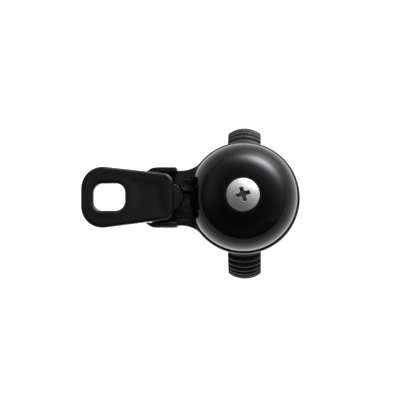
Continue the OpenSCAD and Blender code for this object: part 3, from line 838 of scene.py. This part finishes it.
# %% Pin and button
BEVEL = 0.2                             # on the ends of the pin and the edges of the hammer
STEM_IN = 0.4                           # how much the button's stem is slimmer than its top
points, faces = turned([
    [0, -clevis_y], [pin_r - BEVEL, -clevis_y], [pin_r, -clevis_y + BEVEL],
    [pin_r, clevis_y - BEVEL], [pin_r - BEVEL, clevis_y], [0, clevis_y]], 64, closed=False)
points = np.stack([points[:, 0] + pin_x, points[:, 2], points[:, 1] + pin_z], 1)
make_piece("lever_pin_body", points, faces, "head", steel, ["lever_pin"])

button_top = bumper_high[2]
# The button's top is a round rim with a shallow hollow inside it.
rim = np.array([[0, -0.22], [0.08, -0.08], [0.25, 0], [0.45, -0.05], [0.55, -0.2], [0.62, -0.26]])
points, faces = turned([
    [0, bumper_low[2]], [bumper_r - STEM_IN, bumper_low[2]], [bumper_r - STEM_IN, floor_top],
    [bumper_r, floor_top], *(rim * [-1, 1] + [bumper_r, button_top]), [0, button_top - 0.22]],
    64, closed=False)
make_piece(
    "rubber_button", points + [bumper_x, bumper_y, 0], faces, "head", rubber, ["stop_bumper"])

# %% Spring
WIRE_R, COIL_R, COIL_TURNS, COIL_PITCH = 0.35, 1.75, 4, 0.95
LEG_UP = (-4.6, 0, 1.3)                 # from the coil to the end of the leg under the plate
LEG_BACK = (GAP_END - pin_x - 0.05, 0, -0.1)    # and to the end of the leg against the clevis gap's wall


def coil(a):
    """Points on the coil for angles a in radians, round the lever's pin."""
    return np.stack([
        pin_x + COIL_R * np.cos(a), COIL_PITCH * (a / (2 * np.pi) - COIL_TURNS / 2),
        pin_z + COIL_R * np.sin(a)], -1)


def tube(path, radius, sides=14):
    """A round wire: at each point of the path, a ring of points across its direction."""
    ahead = np.gradient(path, axis=0)
    ahead /= np.linalg.norm(ahead, axis=1)[:, None]
    side = np.cross(ahead, [0, 1, 0])
    side /= np.linalg.norm(side, axis=1)[:, None]
    over = np.cross(side, ahead)
    a = np.arange(sides) * 2 * np.pi / sides
    ring = side[:, None] * np.cos(a)[None, :, None] + over[:, None] * np.sin(a)[None, :, None]
    points = capped(path[:, None] + ring * radius)
    return points.reshape(-1, 3), grid_faces(len(path) + 2, sides, False, True)


turns = np.radians(np.linspace(90, 270 + 360 * (COIL_TURNS - 1), 320))
first, last = coil(turns[0]), coil(turns[-1])
blend = np.linspace(1, 0, 14, endpoint=False)[:, None]
leg_up = first + blend * LEG_UP
leg_back = last + (1 - blend)[1:] * LEG_BACK
points, faces = tube(np.concatenate([leg_up, coil(turns), leg_back]), WIRE_R)
make_piece("lever_spring_wire", points, faces, "head", steel, ["lever_spring"])

# %% Hammer head
head_x, head_y = (head_low[:2] + head_high[:2]) / 2
leaf_top_z = leaf_high[2]
HAMMER_R, BALL_R = 2.4, 2.8
PEG_R, PEG_HEAD_R, LEAF_T = 1.0, 1.5, 0.6
leaf_under = leaf_top_z - LEAF_T
t = np.linspace(0, np.arcsin(HAMMER_R / BALL_R) - 0.05, 20)[::-1]
crown = np.stack([BALL_R * np.sin(t), head_high[2] - BALL_R * (1 - np.cos(t))], 1)
points, faces = turned(np.concatenate([
    [[0, head_low[2]], [PEG_HEAD_R - BEVEL, head_low[2]], [PEG_HEAD_R, head_low[2] + BEVEL],
     [PEG_HEAD_R, leaf_under], [PEG_R, leaf_under], [PEG_R, leaf_top_z],
     [HAMMER_R - BEVEL, leaf_top_z], [HAMMER_R, leaf_top_z + BEVEL]], crown]), 72, closed=False)
make_piece(
    "hammer_striker", points + [head_x, head_y, 0], faces, "lever", brass, ["hammer_head"])

# %% [markdown]
# ## The strap and its liner
# The strap is a length of flexible nylon, flat inside and crowned outside, with thread-like ribs
# right across it. Its two ends stand up side by side as a split screw, which the collar draws up.
# So it is one section carried along one path: up, round the bar and up again, with the height of
# the crown rising and falling once for each rib.

# %% Strap
strap_high, liner_high = span("strap")[1], span("strap_liner")[1]
loop_r, inner_r = strap_high[1], liner_high[1]
BAR_R = 15.9
HALF_W, STEM_R, RIB_H, RIB_PITCH, RIB_GAP = strap_high[0], 8.6, 0.85, 2.8, 1.1
LEG_IN, LEG_TOP = 5.2, strap_high[2]
BEND_R = 4.8                            # inner radius where an end turns up off the loop
TIP_RUN, TIP_IN = 0.5, 0.03             # length of the strap's tips, and how much they narrow
CROWN_STEPS, CROWN_IN = 34, 0.02        # points across the crown, and how far it stays in from the sides
WALL_DROP = 0.22                        # from the crown's edge to the side wall
FOOT_IN, FOOT_UP = 0.25, 0.4            # the bevel where the side wall meets the flat
FLAT_IN, FLAT_STEPS = 1.2, 8            # how far in the flat's points start, and how many there are

bend_y = LEG_IN + BEND_R
bend_z = np.sqrt((inner_r + BEND_R) ** 2 - bend_y ** 2)
meet = np.arctan2(bend_y, bend_z)       # angle from the top where the loop begins


def strap_path(steps_leg, steps_bend, steps_loop):
    """Inner line of the strap in the YZ plane, its outward direction, and its thickness, end to end."""
    z = np.linspace(LEG_TOP, bend_z, steps_leg, endpoint=False)
    leg = np.stack([np.full_like(z, LEG_IN), z], 1)
    leg_out = np.tile([1.0, 0.0], (steps_leg, 1))
    a = np.linspace(0, np.pi / 2 - meet, steps_bend, endpoint=False)
    out = np.stack([np.cos(a), np.sin(a)], 1)
    turn_up = np.array([bend_y, bend_z]) - BEND_R * out
    a = np.linspace(meet, 2 * np.pi - meet, steps_loop)
    loop_out = np.stack([np.sin(a), np.cos(a)], 1)
    half = np.concatenate([leg, turn_up]), np.concatenate([leg_out, out])
    line = np.concatenate([half[0], inner_r * loop_out, half[0][::-1] * [-1, 1]])
    out = np.concatenate([half[1], loop_out, half[1][::-1] * [-1, 1]])
    leg_thick, loop_thick = STEM_R - LEG_IN, loop_r - inner_r
    ramp = np.concatenate([
        np.full(steps_leg, leg_thick), np.linspace(leg_thick, loop_thick, steps_bend)])
    thick = np.concatenate([ramp, np.full(steps_loop, loop_thick), ramp[::-1]])
    return line, out, thick


line, out, thick = strap_path(40, 46, 760)
outside = line + out * thick[:, None]
run = np.concatenate([[0], np.cumsum(np.linalg.norm(np.diff(outside, axis=0), axis=1))])
run -= run[-1] / 2
phase = np.abs((run / RIB_PITCH + 0.5) % 1 - 0.5) * RIB_PITCH   # 0 in a groove's middle
rib = np.sqrt(1 - np.clip((RIB_PITCH / 2 - phase) / (RIB_PITCH - RIB_GAP) * 2, 0, 1) ** 2)
full = np.minimum(1, (run[-1] - np.abs(run)) / TIP_RUN) ** 0.5

crown_x = HALF_W * np.sin(np.linspace(-1, 1, CROWN_STEPS) * np.pi / 2)
crown_drop = STEM_R - np.sqrt(STEM_R ** 2 - crown_x ** 2)
height = thick[:, None] - crown_drop[None] - RIB_H * (1 - rib)[:, None]
top = np.stack([np.tile(crown_x * (1 - CROWN_IN), (len(run), 1)), height], -1)
side_in = np.array([[HALF_W, FOOT_UP], [HALF_W - FOOT_IN, 0.0]])
flat_x = np.linspace(HALF_W - FLAT_IN, -HALF_W + FLAT_IN, FLAT_STEPS)
bottom = np.concatenate([side_in, np.stack([flat_x, np.zeros(FLAT_STEPS)], 1), side_in[::-1] * [-1, 1]])
wall_top = np.stack([np.full(len(run), HALF_W), height[:, -1] - WALL_DROP], -1)
section = np.concatenate([
    top, wall_top[:, None], np.tile(bottom, (len(run), 1, 1)), (wall_top * [-1, 1])[:, None]], 1)
section *= np.stack([1 - TIP_IN + TIP_IN * full, np.ones_like(full)], -1)[:, None]
points = np.concatenate([
    section[..., :1],
    line[:, None, :] + out[:, None, :] * section[..., 1:2]], -1)
points = capped(points)
# The ribs' crests get a high edge value, so the strap is paler along the top of each rib and dark in the
# grooves: partly wear, partly painted highlight.
crest_highlight_across = np.concatenate([np.ones(CROWN_STEPS), [0.8], np.zeros(len(bottom)), [0.8]])
edge = np.outer(np.concatenate([[0], rib, [0]]), crest_highlight_across)
make_piece(
    "ribbed_strap", points.reshape(-1, 3), grid_faces(points.shape[0], points.shape[1], False, True),
    "strap", strap_nylon, ["strap"], edge=edge.reshape(-1))

# %% Liner
LINER_OPEN = np.radians(40)             # half angle that the liner leaves open at the top


def bar_band(low_r, high_r, half_w, from_top, steps, edge_r):
    """A rounded rectangle (radius, along the bar) carried round the bar, open by from_top at the top."""
    outline = rounded([[low_r, -half_w], [high_r, -half_w], [high_r, half_w], [low_r, half_w]], edge_r, 5)
    a = np.linspace(from_top, 2 * np.pi - from_top, steps)
    r, x = outline.T
    points = capped(np.stack([np.tile(x, (steps, 1)), np.outer(np.sin(a), r), np.outer(np.cos(a), r)], -1))
    return points.reshape(-1, 3), grid_faces(steps + 2, len(r), False, True)


points, faces = bar_band(BAR_R, inner_r, HALF_W, LINER_OPEN, 220, 0.4)
make_piece("liner_band", points, faces, "strap", rubber, ["strap_liner"])

# %% [markdown]
# ## Collar and saddle
# The collar is a ring nut with finger grooves, and the saddle is the block that stands on the bar.
# Both are moulded, so both are distance fields with small rounded edges.

# %% Collar
collar_low, collar_high = span("clamp_collar")
COLLAR_R, COLLAR_BORE, GROOVES, GROOVE_R = 12.2, 8.9, 20, 1.0


def collar_field(x, y, z):
    """A ring less finger grooves, which repeat round it because the angle is folded into one share."""
    rho, share = np.hypot(x, y), 2 * np.pi / GROOVES
    angle = (np.arctan2(y, x) + share / 2) % share - share / 2
    groove = np.hypot(rho * np.cos(angle) - COLLAR_R - 0.5, rho * np.sin(angle)) - GROOVE_R
    ring = both(both(rho - COLLAR_R, COLLAR_BORE - rho, 0.4), within(z, collar_low[2], collar_high[2]), 0.45)
    return less(ring, groove, 0.3)


points, faces, normals, bend = skin(collar_field, collar_low, collar_high, 0.2)
make_piece(
    "collar_ring", points, faces, "collar", clamp_plastic, ["clamp_collar"], normals, bend)

# %% Saddle
saddle_low, saddle_high = span("saddle")
SADDLE_R, POST_R, RELIEF_R, SHELF_Z = 13.0, 4.9, 17.3, 21.5
SCREW_BORE_R, POCKET_R, POCKET_H = 2.0, 3.8, 3.0
SLOT_SIDE, SLOT_IN = 0.3, 0.2           # room beside the strap's ends and behind them


def saddle_field(x, y, z):
    """A round block with a post, hollowed for the bar, with a slot each side that the strap passes."""
    rho = np.hypot(x, y)
    block = both(rho - SADDLE_R, within(z, saddle_low[2], SHELF_Z), 0.5)
    block = either(block, both(rho - POST_R, within(z, SHELF_Z - 2, saddle_high[2]), 0.3), 0.2)
    block = less(block, np.hypot(y, z) - RELIEF_R, 0.4)
    slot = both(np.abs(x) - HALF_W - SLOT_SIDE, LEG_IN - SLOT_IN - np.abs(y), 0.2)
    block = less(block, slot, 0.4)
    bore = either(rho - SCREW_BORE_R, both(rho - POCKET_R, z - RELIEF_R - POCKET_H))
    return less(block, bore, 0.1)


points, faces, normals, bend = skin(saddle_field, saddle_low, saddle_high, 0.25)
make_piece(
    "saddle_block", points, faces, "clamp", clamp_plastic, ["saddle"], normals, bend)

# %% [markdown]
# ## Pieces kept as packed
# Washers, the insert, the saddle's pad and screw, the spring strip and its rivets already have the
# right shape, and little of them shows. They keep their imported shape and get a finish.

# %% Finishes for the imported pieces
# The near-black steel on the hammer's strip and rivets is partly painted shade for their channel.
for node, material in {
    "post_insert": brass, "dome_grommet": rubber, "post_washer": steel, "hammer_leaf": black_and_shaded_steel,
    "hammer_rivets": black_and_shaded_steel, "saddle_pad": rubber, "saddle_screw": steel, "swivel_washer": acetal,
}.items():
    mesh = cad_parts[node].data
    mesh.materials.clear()
    mesh.materials.append(material)
print("packed pieces finished")
